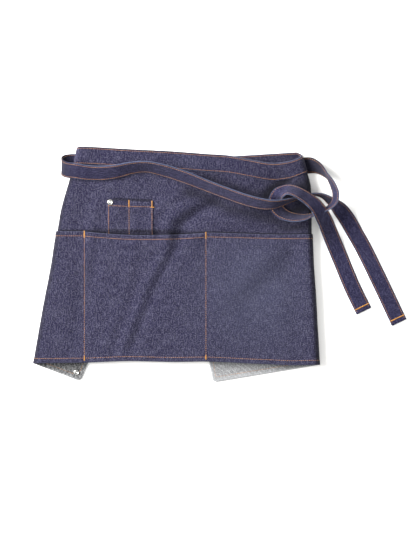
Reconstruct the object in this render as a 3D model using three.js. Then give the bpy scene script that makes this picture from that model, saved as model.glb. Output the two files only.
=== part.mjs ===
// A denim waist apron lying on its back, wrapped as it is worn and half-knotted at the right front.
// The flat cloth is cut with u across it from the centre line and v up it from the hem; the panel's
// front lies up and both sides fold round underneath. Millimetres, +X to the right, +Y to the waist, +Z up.
import * as THREE from "three";
import { mergeVertices } from "three/addons/utils/BufferGeometryUtils.js";

// The cut sizes of the cloth pieces.
const APRON_WIDTH = 690;
const APRON_HEIGHT = 330;
const BAND_WIDTH = 25;
const POCKET_DEPTH = 200;
const POCKET_PITCH = 185;
const TIE_WIDTH = 25;
const PEN_POCKET_WIDTH = 70;
const PEN_POCKET_RISE = 52;
const PEN_POCKET_TUCK = 22;
const PEN_POCKET_INSET = 35;
const CORNER_RADIUS = 6;

// Thicknesses, and the clearance between pieces that touch.
const CLOTH = 1;
const BAND_THICKNESS = 3;
const TIE_THICKNESS = 2.2;
const SEAT_GAP = 0.3;

// How the wrapped apron lies: the clear height inside each fold, the sag between them, the lean of
// the folded rows in degrees, and how far the right side of the waist climbs as it goes round.
const LEFT_HOLLOW = 10;
const RIGHT_HOLLOW = 11;
const FRONT_SAG = 2;
const LEFT_TURN = 20.8;
const RIGHT_TURN_HEM = 9.4;
const RIGHT_TURN_WAIST = 3.5;
const RIGHT_CLIMB = 11;
const RELIEF = 4;
const MOUTH_GAPE = 3.2;
const MOUTH_SAG = 5;

// The rivets.
const RIVET_DIAMETER = 9.5;
const RIVET_HEIGHT = 1.6;
const RIVET_INSET = 4.6;
const CORNER_RIVET_INSET = 10.5;

const HALF_WIDTH = APRON_WIDTH / 2;
const BAND_FOOT = APRON_HEIGHT - BAND_WIDTH;

// Where each side starts to fold under, as a share of half the width, at shares of the height.
const SIDE_FOLDS = [
  { v: 0, left: 0.761, right: 0.501 },
  { v: 0.15, left: 0.735, right: 0.493 },
  { v: 0.3, left: 0.708, right: 0.484 },
  { v: 0.45, left: 0.681, right: 0.475 },
  { v: 0.606, left: 0.657, right: 0.468 },
  { v: 0.72, left: 0.638, right: 0.467 },
  { v: 0.85, left: 0.604, right: 0.463 },
  { v: 0.925, left: 0.583, right: 0.446 },
  { v: 1, left: 0.567, right: 0.423 },
];

// How far the hem, the pocket line and the waist hang below a straight line, as shares of the height.
const SWAY = [
  { u: -0.78, hem: 0, pocket: -0.004, waist: 0.006 },
  { u: -0.52, hem: -0.003, pocket: -0.004, waist: 0.009 },
  { u: -0.35, hem: -0.01, pocket: 0, waist: 0.019 },
  { u: -0.15, hem: -0.006, pocket: 0, waist: 0.03 },
  { u: 0, hem: -0.008, pocket: 0, waist: 0.042 },
  { u: 0.1, hem: -0.004, pocket: 0.002, waist: 0.049 },
  { u: 0.19, hem: 0.001, pocket: 0.004, waist: 0.066 },
  { u: 0.29, hem: 0.005, pocket: 0.006, waist: 0.083 },
  { u: 0.37, hem: 0.009, pocket: 0.007, waist: 0.074 },
  { u: 0.44, hem: 0.008, pocket: 0.007, waist: 0.05 },
  { u: 0.51, hem: 0.006, pocket: 0.007, waist: 0.04 },
];

// Ridges and dents of the front: centre and spread as shares of the width, with x from the centre
// line and y from the hem; turn is the ridge's bearing in degrees and rise a share of RELIEF.
const FOLDS = [
  { x: -0.035, y: 0.343, along: 0.1, across: 0.02, turn: 42, rise: -0.8 },
  { x: -0.08, y: 0.35, along: 0.09, across: 0.026, turn: 50, rise: 0.6 },
  { x: 0.042, y: 0.31, along: 0.12, across: 0.026, turn: 20, rise: 0.7 },
  { x: 0.19, y: 0.36, along: 0.07, across: 0.06, turn: 0, rise: -0.75 },
  { x: 0.13, y: 0.4, along: 0.08, across: 0.026, turn: -12, rise: 0.7 },
  { x: -0.053, y: 0.16, along: 0.13, across: 0.02, turn: 88, rise: -0.4 },
  { x: -0.09, y: 0.16, along: 0.13, across: 0.02, turn: 88, rise: 0.5 },
  { x: 0.17, y: 0.12, along: 0.12, across: 0.03, turn: 96, rise: 0.4 },
  { x: -0.23, y: 0.33, along: 0.07, across: 0.03, turn: 70, rise: 0.4 },
];

// The ties' routes: x from the centre line as a share of the width, y from the hem as a share of the
// height. A strap lies on the floor or on the front, lift is the height of its lower edge above that
// as a share of the strap's width, bearing and tip are the way its width points (in plan, and up from
// level) and width is the share of its width left where the knot gathers it.
const RIGHT_TIE_ROUTE = [
  { x: -0.098, y: 0.898, on: "floor", lift: 0.02, bearing: 88, tip: 0, width: 1 },
  { x: -0.122, y: 0.904, on: "floor", lift: 0.00, bearing: 88, tip: 0, width: 1 },
  { x: -0.154, y: 0.911, on: "floor", lift: 0.00, bearing: 90, tip: 0, width: 1 },
  { x: -0.189, y: 0.916, on: "floor", lift: 0.00, bearing: 92, tip: 0, width: 1 },
  { x: -0.244, y: 0.925, on: "floor", lift: 0.00, bearing: 93, tip: 0, width: 1 },
  { x: -0.285, y: 0.930, on: "floor", lift: 0.00, bearing: 92, tip: 0, width: 1 },
  { x: -0.300, y: 0.930, on: "floor", lift: 0.00, bearing: 91, tip: 2, width: 1 },
  { x: -0.312, y: 0.924, on: "floor", lift: 0.10, bearing: 90, tip: 6, width: 1 },
  { x: -0.317, y: 0.912, on: "floor", lift: 0.30, bearing: 88, tip: 10, width: 1 },
  { x: -0.315, y: 0.900, on: "floor", lift: 0.52, bearing: 86, tip: 14, width: 1 },
  { x: -0.306, y: 0.891, on: "floor", lift: 0.68, bearing: 86, tip: 19, width: 1 },
  { x: -0.286, y: 0.885, on: "front", lift: 0.04, bearing: 86, tip: 24, width: 1 },
  { x: -0.260, y: 0.877, on: "front", lift: 0.01, bearing: 88, tip: 27, width: 1 },
  { x: -0.224, y: 0.876, on: "front", lift: 0.01, bearing: 92, tip: 31, width: 1 },
  { x: -0.194, y: 0.884, on: "front", lift: 0.01, bearing: 98, tip: 38, width: 1 },
  { x: -0.163, y: 0.899, on: "front", lift: 0.01, bearing: 98, tip: 46, width: 1 },
  { x: -0.130, y: 0.904, on: "front", lift: 0.01, bearing: 86, tip: 50, width: 1 },
  { x: -0.095, y: 0.889, on: "front", lift: 0.01, bearing: 72, tip: 46, width: 1 },
  { x: -0.053, y: 0.862, on: "front", lift: 0.01, bearing: 68, tip: 44, width: 1 },
  { x: -0.006, y: 0.824, on: "front", lift: 0.02, bearing: 67, tip: 48, width: 1 },
  { x: 0.044, y: 0.784, on: "front", lift: 0.10, bearing: 68, tip: 50, width: 1 },
  { x: 0.093, y: 0.748, on: "front", lift: 0.26, bearing: 72, tip: 50, width: 1 },
  { x: 0.124, y: 0.733, on: "front", lift: 0.38, bearing: 80, tip: 50, width: 0.97 },
  { x: 0.146, y: 0.730, on: "front", lift: 0.42, bearing: 92, tip: 54, width: 0.9 },
  { x: 0.165, y: 0.737, on: "front", lift: 0.34, bearing: 100, tip: 62, width: 0.76 },
  { x: 0.190, y: 0.753, on: "front", lift: 0.14, bearing: 103, tip: 74, width: 0.58 },
  { x: 0.212, y: 0.767, on: "front", lift: 0.03, bearing: 100, tip: 80, width: 0.5 },
  { x: 0.235, y: 0.779, on: "floor", lift: 0.62, bearing: 85, tip: 80, width: 0.5 },
  { x: 0.256, y: 0.774, on: "floor", lift: 0.32, bearing: 66, tip: 73, width: 0.66 },
  { x: 0.273, y: 0.754, on: "floor", lift: 0.10, bearing: 58, tip: 62, width: 0.86 },
  { x: 0.288, y: 0.729, on: "floor", lift: 0.01, bearing: 50, tip: 44, width: 1 },
  { x: 0.301, y: 0.699, on: "floor", lift: 0.00, bearing: 42, tip: 22, width: 1 },
  { x: 0.315, y: 0.658, on: "floor", lift: 0.00, bearing: 35, tip: 6, width: 1 },
  { x: 0.329, y: 0.606, on: "floor", lift: 0.00, bearing: 30, tip: 0, width: 1 },
  { x: 0.348, y: 0.535, on: "floor", lift: 0.00, bearing: 28, tip: 0, width: 1 },
  { x: 0.385, y: 0.378, on: "floor", lift: 0.00, bearing: 27, tip: 0, width: 1 },
  { x: 0.428, y: 0.187, on: "floor", lift: 0.00, bearing: 28, tip: 0, width: 1 },
];
const LEFT_TIE_ROUTE = [
  { x: -0.063, y: 0.778, on: "floor", lift: 0.00, bearing: 74, tip: 0, width: 1 },
  { x: -0.035, y: 0.768, on: "floor", lift: 0.00, bearing: 82, tip: 0, width: 1 },
  { x: 0.005, y: 0.771, on: "floor", lift: 0.00, bearing: 98, tip: 0, width: 1 },
  { x: 0.064, y: 0.801, on: "floor", lift: 0.00, bearing: 106, tip: 0, width: 1 },
  { x: 0.124, y: 0.843, on: "floor", lift: 0.00, bearing: 108, tip: 0, width: 1 },
  { x: 0.174, y: 0.883, on: "floor", lift: 0.00, bearing: 107, tip: 0, width: 1 },
  { x: 0.205, y: 0.907, on: "floor", lift: 0.00, bearing: 104, tip: 0, width: 1 },
  { x: 0.222, y: 0.914, on: "floor", lift: 0.00, bearing: 94, tip: 0, width: 1 },
  { x: 0.237, y: 0.913, on: "floor", lift: 0.03, bearing: 78, tip: 32, width: 1 },
  { x: 0.252, y: 0.896, on: "floor", lift: 0.16, bearing: 60, tip: 58, width: 0.95 },
  { x: 0.267, y: 0.862, on: "floor", lift: 0.40, bearing: 42, tip: 82, width: 0.88 },
  { x: 0.279, y: 0.819, on: "floor", lift: 0.68, bearing: 24, tip: 70, width: 0.8 },
  { x: 0.285, y: 0.778, on: "floor", lift: 0.90, bearing: 4, tip: 63, width: 0.74 },
  { x: 0.282, y: 0.743, on: "floor", lift: 0.96, bearing: -24, tip: 62, width: 0.7 },
  { x: 0.269, y: 0.716, on: "floor", lift: 0.86, bearing: -52, tip: 68, width: 0.62 },
  { x: 0.251, y: 0.698, on: "floor", lift: 0.74, bearing: -70, tip: 76, width: 0.55 },
  { x: 0.234, y: 0.684, on: "floor", lift: 0.71, bearing: -78, tip: 74, width: 0.64 },
  { x: 0.215, y: 0.672, on: "front", lift: 0.02, bearing: -84, tip: 63, width: 0.85 },
  { x: 0.195, y: 0.671, on: "front", lift: 0.02, bearing: -94, tip: 55, width: 0.95 },
  { x: 0.176, y: 0.681, on: "front", lift: 0.02, bearing: -108, tip: 46, width: 0.95 },
  { x: 0.162, y: 0.700, on: "front", lift: 0.02, bearing: -130, tip: 30, width: 0.9 },
  { x: 0.154, y: 0.726, on: "front", lift: 0.02, bearing: -160, tip: 14, width: 0.86 },
  { x: 0.154, y: 0.753, on: "front", lift: 0.02, bearing: -188, tip: 0, width: 0.84 },
  { x: 0.158, y: 0.774, on: "front", lift: 0.06, bearing: -218, tip: -24, width: 0.85 },
  { x: 0.167, y: 0.789, on: "front", lift: 0.16, bearing: -243, tip: -46, width: 0.88 },
  { x: 0.179, y: 0.798, on: "front", lift: 0.32, bearing: -264, tip: -52, width: 0.92 },
  { x: 0.191, y: 0.794, on: "front", lift: 0.44, bearing: -284, tip: -46, width: 0.95 },
  { x: 0.205, y: 0.780, on: "front", lift: 0.53, bearing: -300, tip: -41, width: 0.97 },
  { x: 0.224, y: 0.755, on: "floor", lift: 1.26, bearing: -311, tip: -37, width: 0.98 },
  { x: 0.239, y: 0.728, on: "floor", lift: 1.30, bearing: -319, tip: -30, width: 1 },
  { x: 0.250, y: 0.697, on: "floor", lift: 1.26, bearing: -326, tip: -22, width: 1 },
  { x: 0.261, y: 0.659, on: "floor", lift: 0.90, bearing: -331, tip: -16, width: 1 },
  { x: 0.272, y: 0.609, on: "floor", lift: 0.44, bearing: -335, tip: -9, width: 1 },
  { x: 0.284, y: 0.552, on: "floor", lift: 0.11, bearing: -336, tip: -2, width: 1 },
  { x: 0.298, y: 0.483, on: "floor", lift: 0.00, bearing: -336, tip: 0, width: 1 },
  { x: 0.324, y: 0.352, on: "floor", lift: 0.00, bearing: -334, tip: 0, width: 1 },
  { x: 0.350, y: 0.240, on: "floor", lift: 0.00, bearing: -331, tip: 0, width: 1 },
];
const STEPS_PER_ROW = 2;

const radians = THREE.MathUtils.degToRad;
const mix = THREE.MathUtils.lerp;
const clamp = THREE.MathUtils.clamp;
const smooth = THREE.MathUtils.smoothstep;

// A smooth curve through one column of a table, read at a value of its key column.
function readTable(rows, key, column, at) {
  const x = clamp(at, rows[0][key], rows.at(-1)[key]);
  let i = 0;
  while (i < rows.length - 2 && rows[i + 1][key] < x) i += 1;
  const [before, low, high, after] = [i - 1, i, i + 1, i + 2].map((k) => rows[clamp(k, 0, rows.length - 1)]);
  const span = high[key] - low[key];
  const share = (x - low[key]) / span;
  const slopeLow = ((high[column] - before[column]) / (high[key] - before[key])) * span;
  const slopeHigh = ((after[column] - low[column]) / (after[key] - low[key])) * span;
  const s2 = share * share;
  const s3 = s2 * share;
  return (
    (2 * s3 - 3 * s2 + 1) * low[column] +
    (s3 - 2 * s2 + share) * slopeLow +
    (3 * s2 - 2 * s3) * high[column] +
    (s3 - s2) * slopeHigh
  );
}

// The height of the folded-under cloth's middle: on the pocket cloth at the hem, over the ties at
// the waist.
const SEAT_ON_POCKET = CLOTH + SEAT_GAP + CLOTH / 2;
const SEAT_ON_TIES = TIE_THICKNESS + SEAT_GAP + BAND_THICKNESS / 2;
const TIE_ZONE_SHARE = 0.78;
function underSeat(v) {
  return mix(SEAT_ON_POCKET, SEAT_ON_TIES, smooth(v, POCKET_DEPTH, APRON_HEIGHT * TIE_ZONE_SHARE));
}

// One side's fold at a height v: its sign, where it starts, its radius and its lean.
function sideFold(sign, v) {
  const share = v / APRON_HEIGHT;
  const left = sign < 0;
  const outermost = readTable(SIDE_FOLDS, "v", left ? "left" : "right", share) * HALF_WIDTH;
  const radius = ((left ? LEFT_HOLLOW : RIGHT_HOLLOW) + BAND_THICKNESS) / 2;
  const turn = radians(left ? LEFT_TURN : mix(RIGHT_TURN_HEM, RIGHT_TURN_WAIST, share));
  const climb = left ? 0 : RIGHT_CLIMB * smooth(v, POCKET_DEPTH, APRON_HEIGHT);
  const start = outermost - radius - CLOTH / 2;
  const under = start + (Math.PI * radius) / Math.cos(turn / 2);
  return { sign, start, under, radius, turn, climb };
}

// The folded-under cloth eases along its rows so that its side edge runs straight from hem to waist.
function easeUnder(fold, v) {
  const endX = (f) => f.start - Math.cos(f.turn) * (HALF_WIDTH - f.under);
  const straight = mix(endX(sideFold(fold.sign, 0)), endX(sideFold(fold.sign, APRON_HEIGHT)), v / APRON_HEIGHT);
  return (fold.start - straight) / (fold.start - endX(fold));
}

// How far up the photographed front a point of the cloth lies: the pocket zone and the waistband
// keep their depth, and the cloth between them gives up what the waist sags.
function frontY(u, v) {
  const at = u / HALF_WIDTH;
  const hem = readTable(SWAY, "u", "hem", at);
  const pocket = readTable(SWAY, "u", "pocket", at);
  const waist = readTable(SWAY, "u", "waist", at);
  const low = mix(hem, pocket, clamp(v / POCKET_DEPTH, 0, 1));
  const drop = mix(low, waist, smooth(v, POCKET_DEPTH * 0.9, BAND_FOOT));
  return v - drop * APRON_HEIGHT;
}

// The height of the front cloth's middle: level with both folds at the sides, sagging between them,
// with the ridges and dents of the table.
function frontZ(u, v) {
  const left = sideFold(-1, v);
  const right = sideFold(1, v);
  const seat = underSeat(v);
  const across = clamp((u + left.start) / (left.start + right.start), 0, 1);
  const edgeWindow = smooth(across, 0, 0.22) * (1 - smooth(across, 0.78, 1));
  const y = frontY(u, v);
  let relief = -FRONT_SAG;
  for (const fold of FOLDS) {
    const turn = radians(fold.turn);
    const dx = u / APRON_WIDTH - fold.x;
    const dy = y / APRON_WIDTH - fold.y;
    const along = (dx * Math.cos(turn) + dy * Math.sin(turn)) / fold.along;
    const aside = (dy * Math.cos(turn) - dx * Math.sin(turn)) / fold.across;
    relief += RELIEF * fold.rise * Math.exp(-along * along - aside * aside);
  }
  return seat + 2 * mix(left.radius, right.radius, smooth(across, 0, 1)) + relief * edgeWindow;
}

// The point of the wrapped apron at u, v of the flat cloth, off the cloth's middle by depth.
function place(u, v, depth) {
  const fold = sideFold(u < 0 ? -1 : 1, v);
  const past = Math.abs(u) - fold.start;
  if (past <= 0) return new THREE.Vector3(u, frontY(u, v), frontZ(u, v) + depth);
  const lean = fold.turn / 2;
  const edgeU = fold.sign * fold.start;
  const round = Math.min(Math.PI, (past * Math.cos(lean)) / fold.radius);
  const slide = round * fold.radius * Math.tan(lean);
  const rest = (past - (round * fold.radius) / Math.cos(lean)) * easeUnder(fold, v);
  const reach = (fold.radius + depth) * Math.sin(round);
  return new THREE.Vector3(
    edgeU + fold.sign * (Math.sin(lean) * slide + Math.cos(lean) * reach - Math.cos(fold.turn) * rest),
    frontY(edgeU, v) - Math.cos(lean) * slide + Math.sin(lean) * reach - Math.sin(fold.turn) * rest
      + (fold.climb * round) / Math.PI,
    underSeat(v) + fold.radius + (fold.radius + depth) * Math.cos(round),
  );
}

// A closed wall between two grids of points, with its rim: outer faces up, inner down.
function wall(outer, inner) {
  const rows = outer.length;
  const columns = outer[0].length;
  const points = [...outer.flat(), ...inner.flat()];
  const index = [];
  const at = (layer, r, c) => layer * rows * columns + r * columns + c;
  const quad = (a, b, c, d) => index.push(a, b, c, a, c, d);
  for (let r = 0; r < rows - 1; r += 1) {
    for (let c = 0; c < columns - 1; c += 1) {
      quad(at(0, r, c), at(0, r, c + 1), at(0, r + 1, c + 1), at(0, r + 1, c));
      quad(at(1, r, c), at(1, r + 1, c), at(1, r + 1, c + 1), at(1, r, c + 1));
    }
  }
  for (let c = 0; c < columns - 1; c += 1) {
    quad(at(0, 0, c), at(1, 0, c), at(1, 0, c + 1), at(0, 0, c + 1));
    quad(at(0, rows - 1, c), at(0, rows - 1, c + 1), at(1, rows - 1, c + 1), at(1, rows - 1, c));
  }
  for (let r = 0; r < rows - 1; r += 1) {
    quad(at(0, r, 0), at(0, r + 1, 0), at(1, r + 1, 0), at(1, r, 0));
    quad(at(0, r, columns - 1), at(1, r, columns - 1), at(1, r + 1, columns - 1), at(0, r + 1, columns - 1));
  }
  const geometry = new THREE.BufferGeometry();
  geometry.setAttribute("position", new THREE.Float32BufferAttribute(points.flatMap((p) => p.toArray()), 3));
  geometry.setIndex(index);
  return geometry;
}

// Where a row of the cloth is cut into columns: both flaps, both folds and the front.
const FLAP_COLUMNS = 5;
const FOLD_COLUMNS = 7;
const FRONT_COLUMNS = 22;
function rowColumns(v) {
  const cutCorner = v < CORNER_RADIUS
    ? CORNER_RADIUS - Math.sqrt(CORNER_RADIUS ** 2 - (CORNER_RADIUS - v) ** 2)
    : 0;
  const end = HALF_WIDTH - cutCorner;
  const left = sideFold(-1, v);
  const right = sideFold(1, v);
  const columns = [];
  const run = (from, to, count) => {
    for (let i = 0; i < count; i += 1) columns.push(mix(from, to, i / count));
  };
  run(-end, -left.under, FLAP_COLUMNS);
  run(-left.under, -left.start, FOLD_COLUMNS);
  run(-left.start, right.start, FRONT_COLUMNS);
  run(right.start, right.under, FOLD_COLUMNS);
  run(right.under, end, FLAP_COLUMNS);
  columns.push(end);
  return columns;
}

// A piece of cloth wrapped with the panel, from its rows and the depths of its two faces.
function wrapped(rows, depthAt, thickness) {
  const grid = (side) =>
    rows.map((v) => rowColumns(v).map((u) => place(u, v, depthAt(u, v) + (side * thickness) / 2)));
  return wall(grid(1), grid(-1));
}

// Evenly spaced rows, with extra rows round the hem's corners.
function rowsBetween(low, high, count) {
  return Array.from({ length: count + 1 }, (_, i) => mix(low, high, i / count));
}
const HEM_ROWS = [0, CORNER_RADIUS * 0.15, CORNER_RADIUS * 0.45];

// The pocket cloth lies on the panel and stands off it at the middle pocket's mouth.
function gapeAt(u, v) {
  const across = clamp((u + POCKET_PITCH) / POCKET_PITCH, 0, 1);
  const near = smooth(v, POCKET_DEPTH * 0.55, POCKET_DEPTH);
  return near * Math.sin(Math.PI * across) ** 0.7;
}
function pocketDepth(u, v) {
  return CLOTH + SEAT_GAP + MOUTH_GAPE * gapeAt(u, v);
}

function fabric(color) {
  return new THREE.MeshStandardMaterial({ color, roughness: 0.9, metalness: 0 });
}
const DENIM = fabric("#4c4a64");
const BAND_DENIM = fabric("#46445c");
const TIE_DENIM = fabric("#484868");
const RIVET_METAL = new THREE.MeshStandardMaterial({ color: "#d8d9da", roughness: 0.3, metalness: 1 });

const apron = new THREE.Group();
function add(name, geometry, material) {
  const mesh = new THREE.Mesh(geometry, material);
  mesh.name = name;
  apron.add(mesh);
  return mesh;
}

const panelRows = [...HEM_ROWS, ...rowsBetween(CORNER_RADIUS, BAND_FOOT - SEAT_GAP, 18)];
add("apron_panel", wrapped(panelRows, () => 0, CLOTH), DENIM);

const pocketRows = [...HEM_ROWS, ...rowsBetween(CORNER_RADIUS, POCKET_DEPTH, 10)];
const pocket = add("pocket_panel", wrapped(pocketRows, pocketDepth, CLOTH), DENIM);
sagMouth(pocket.geometry);

add("waistband", wrapped(rowsBetween(BAND_FOOT, APRON_HEIGHT, 2), () => 0, BAND_THICKNESS), BAND_DENIM);

// The middle pocket's mouth hangs a little lower where it stands off the panel.
function sagMouth(geometry) {
  const position = geometry.getAttribute("position");
  for (let i = 0; i < position.count; i += 1) {
    const x = position.getX(i);
    const y = position.getY(i);
    const onFront = position.getZ(i) > SEAT_ON_POCKET + LEFT_HOLLOW / 2;
    if (onFront) position.setY(i, y - MOUTH_SAG * gapeAt(x, clamp(y, 0, POCKET_DEPTH)));
  }
}

// The pen pocket is sewn on the panel, with its foot tucked into the middle pocket.
const penLeft = -POCKET_PITCH + PEN_POCKET_INSET;
const penTop = POCKET_DEPTH + PEN_POCKET_RISE;
const PEN_DEPTH = CLOTH + SEAT_GAP;
function penPocket() {
  const columns = rowsBetween(penLeft, penLeft + PEN_POCKET_WIDTH, 7);
  const grid = (side) =>
    rowsBetween(POCKET_DEPTH - PEN_POCKET_TUCK, penTop, 7).map((v) =>
      columns.map((u) => place(u, v, PEN_DEPTH + (side * CLOTH) / 2)),
    );
  return wall(grid(1), grid(-1));
}
add("pen_pocket", penPocket(), DENIM);

// A domed rivet head, seated on the cloth at u, v; facing +1 on the outside, -1 on the wrong side.
function rivet(name, u, v, depth, facing) {
  const radius = RIVET_DIAMETER / 2;
  const profile = [
    new THREE.Vector2(0, 0),
    new THREE.Vector2(radius, 0),
    new THREE.Vector2(radius, RIVET_HEIGHT * 0.35),
    new THREE.Vector2(radius * 0.72, RIVET_HEIGHT * 0.85),
    new THREE.Vector2(0, RIVET_HEIGHT),
  ];
  const head = new THREE.LatheGeometry(profile, 16);
  head.deleteAttribute("normal");
  head.deleteAttribute("uv");
  const mesh = add(name, mergeVertices(head, 1e-3), RIVET_METAL);
  const seat = place(u, v, facing * (depth + SEAT_GAP));
  const along = place(u + radius, v, facing * depth).sub(place(u - radius, v, facing * depth)).normalize();
  const up = place(u, v + radius, facing * depth).sub(place(u, v - radius, facing * depth)).normalize();
  mesh.position.copy(seat);
  const normal = along.clone().cross(up).multiplyScalar(facing);
  mesh.quaternion.setFromUnitVectors(new THREE.Vector3(0, 1, 0), normal);
}
rivet("pen_pocket_rivet", penLeft + RIVET_INSET, penTop - RIVET_INSET, PEN_DEPTH + CLOTH / 2, 1);
rivet("corner_rivet", -HALF_WIDTH + CORNER_RIVET_INSET, CORNER_RIVET_INSET, CLOTH / 2, -1);

// The front's upper face under a plan point.
function frontTop(x, y) {
  const v = clamp(2 * y - frontY(x, y), 0, APRON_HEIGHT);
  const half = v > BAND_FOOT ? BAND_THICKNESS / 2 : CLOTH / 2;
  return frontZ(x, v) + half;
}

// A route's row in millimetres: the strap's middle, and the way its width points.
function strapRow(row) {
  const x = row.x * APRON_WIDTH;
  const y = row.y * APRON_HEIGHT;
  const bearing = radians(row.bearing);
  const tip = radians(row.tip);
  const half = (row.width * TIE_WIDTH) / 2;
  const side = new THREE.Vector3(
    Math.cos(bearing) * Math.cos(tip),
    Math.sin(bearing) * Math.cos(tip),
    Math.sin(tip),
  );
  const lower = half * Math.abs(Math.sin(tip));
  let base = TIE_THICKNESS / 2;
  if (row.on === "front") {
    const spots = [-half, 0, half].map((s) => frontTop(x + s * side.x, y + s * side.y));
    base += Math.max(...spots) + SEAT_GAP;
  }
  const z = base + lower + row.lift * TIE_WIDTH;
  return { point: new THREE.Vector3(x, y, z), side, half, onFront: row.on === "front" };
}

// The first rows of a tie carry on from the waistband's end, which sign names.
function strapStart(sign) {
  const v = APRON_HEIGHT - BAND_WIDTH / 2;
  const onBand = (u) => place(sign * u, v, 0);
  const heading = onBand(HALF_WIDTH).sub(onBand(HALF_WIDTH - TIE_WIDTH)).normalize();
  const top = place(sign * HALF_WIDTH, APRON_HEIGHT, 0);
  const side = top.sub(place(sign * HALF_WIDTH, BAND_FOOT, 0)).normalize();
  return [SEAT_GAP, TIE_WIDTH * 0.12].map((ahead) => ({
    point: onBand(HALF_WIDTH).addScaledVector(heading, ahead),
    heading,
    side,
    half: TIE_WIDTH / 2,
  }));
}

// A flat strap swept along its route.
function strap(sign, route) {
  const rows = [...strapStart(sign), ...route.map(strapRow)];
  const curve = new THREE.CatmullRomCurve3(rows.map((row) => row.point), false, "centripetal");
  const count = (rows.length - 1) * STEPS_PER_ROW;
  const corners = [[-1, 1], [1, 1], [1, -1], [-1, -1]];
  const rings = [];
  for (let i = 0; i <= count; i += 1) {
    const at = i / STEPS_PER_ROW;
    const low = rows[Math.min(Math.floor(at), rows.length - 2)];
    const high = rows[Math.min(Math.floor(at), rows.length - 2) + 1];
    const share = at - Math.min(Math.floor(at), rows.length - 2);
    const tangent = low.heading ?? curve.getTangent(i / count);
    const side = low.side.clone().lerp(high.side, share);
    if (i > 0) side.addScaledVector(tangent, -side.dot(tangent));
    side.normalize();
    const up = side.clone().cross(tangent).normalize();
    if (i === 0 && up.z < 0) corners.reverse();
    const facing = rings.length && rings.at(-1).up.dot(up) < 0 ? -1 : 1;
    up.multiplyScalar(facing);
    const half = mix(low.half, high.half, share);
    const middle = curve.getPoint(i / count);
    const points = corners.map(([s, t]) =>
      middle.clone().addScaledVector(side, s * half).addScaledVector(up, (t * TIE_THICKNESS) / 2),
    );
    const clearOf = (p) => (low.onFront && high.onFront ? frontTop(p.x, p.y) + SEAT_GAP : 0);
    const sunk = Math.max(0, ...points.map((p) => clearOf(p) - p.z));
    points.forEach((p) => p.setZ(p.z + sunk));
    rings.push({ up, points });
  }
  return sweep(rings.map((ring) => ring.points));
}

// A closed skin over a row of rings, capped at both ends and turned to face out.
function sweep(rings) {
  const n = rings[0].length;
  const index = [];
  for (let r = 0; r < rings.length - 1; r += 1) {
    for (let k = 0; k < n; k += 1) {
      const a = r * n + k;
      const b = r * n + ((k + 1) % n);
      index.push(a, b, b + n, a, b + n, a + n);
    }
  }
  const last = (rings.length - 1) * n;
  for (let k = 1; k < n - 1; k += 1) {
    index.push(0, k + 1, k);
    index.push(last, last + k, last + k + 1);
  }
  const points = rings.flat();
  if (signedVolume(points, index) < 0) index.reverse();
  const geometry = new THREE.BufferGeometry();
  geometry.setAttribute("position", new THREE.Float32BufferAttribute(points.flatMap((p) => p.toArray()), 3));
  geometry.setIndex(index);
  return geometry;
}

function signedVolume(points, index) {
  let volume = 0;
  for (let i = 0; i < index.length; i += 3) {
    const [a, b, c] = [index[i], index[i + 1], index[i + 2]].map((k) => points[k]);
    volume += a.dot(b.clone().cross(c)) / 6;
  }
  return volume;
}

add("right_tie", strap(1, RIGHT_TIE_ROUTE), TIE_DENIM);
add("left_tie", strap(-1, LEFT_TIE_ROUTE), TIE_DENIM);

// The apron stands with the middle of its base at the origin.
const bounds = new THREE.Box3().setFromObject(apron, true);
const middle = bounds.getCenter(new THREE.Vector3());
apron.position.set(-middle.x, -middle.y, -bounds.min.z);

const part = new THREE.Group();
part.add(apron);
export default part;
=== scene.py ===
import math

import bmesh
import bpy
import numpy as np
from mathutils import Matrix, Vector


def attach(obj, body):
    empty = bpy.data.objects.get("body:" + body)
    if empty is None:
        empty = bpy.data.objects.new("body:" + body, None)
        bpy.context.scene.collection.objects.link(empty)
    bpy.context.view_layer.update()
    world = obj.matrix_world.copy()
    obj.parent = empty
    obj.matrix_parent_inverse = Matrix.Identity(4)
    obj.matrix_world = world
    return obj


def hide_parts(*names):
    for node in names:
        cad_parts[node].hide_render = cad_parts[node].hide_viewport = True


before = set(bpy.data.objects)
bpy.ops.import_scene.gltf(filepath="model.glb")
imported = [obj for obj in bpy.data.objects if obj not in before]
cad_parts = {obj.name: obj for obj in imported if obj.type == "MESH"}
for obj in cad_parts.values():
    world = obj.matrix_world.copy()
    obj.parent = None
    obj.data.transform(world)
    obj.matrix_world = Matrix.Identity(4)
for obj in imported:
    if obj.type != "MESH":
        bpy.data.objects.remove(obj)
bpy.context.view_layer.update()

# The view: straight down on the apron where it lies, from high enough that nothing leans.
# The photograph's frame is 820.8 mm tall at the height of the apron's front.
VIEW_HEIGHT = 3.0
FRONT_LEVEL = 0.018
FRAME_TALL = 0.8208
VIEW_CENTRE = (-0.01517, -0.00726)
SENSOR = 24.0
camera_data = bpy.data.cameras.new("camera")
camera_data.sensor_fit = "VERTICAL"
camera_data.sensor_height = SENSOR
camera_data.lens = SENSOR * (VIEW_HEIGHT - FRONT_LEVEL) / FRAME_TALL
camera_data.clip_end = 20.0
camera = bpy.data.objects.new("camera", camera_data)
camera.location = (*VIEW_CENTRE, VIEW_HEIGHT)
bpy.context.collection.objects.link(camera)
bpy.context.scene.camera = camera
bpy.context.scene.view_settings.view_transform = "Standard"

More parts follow.
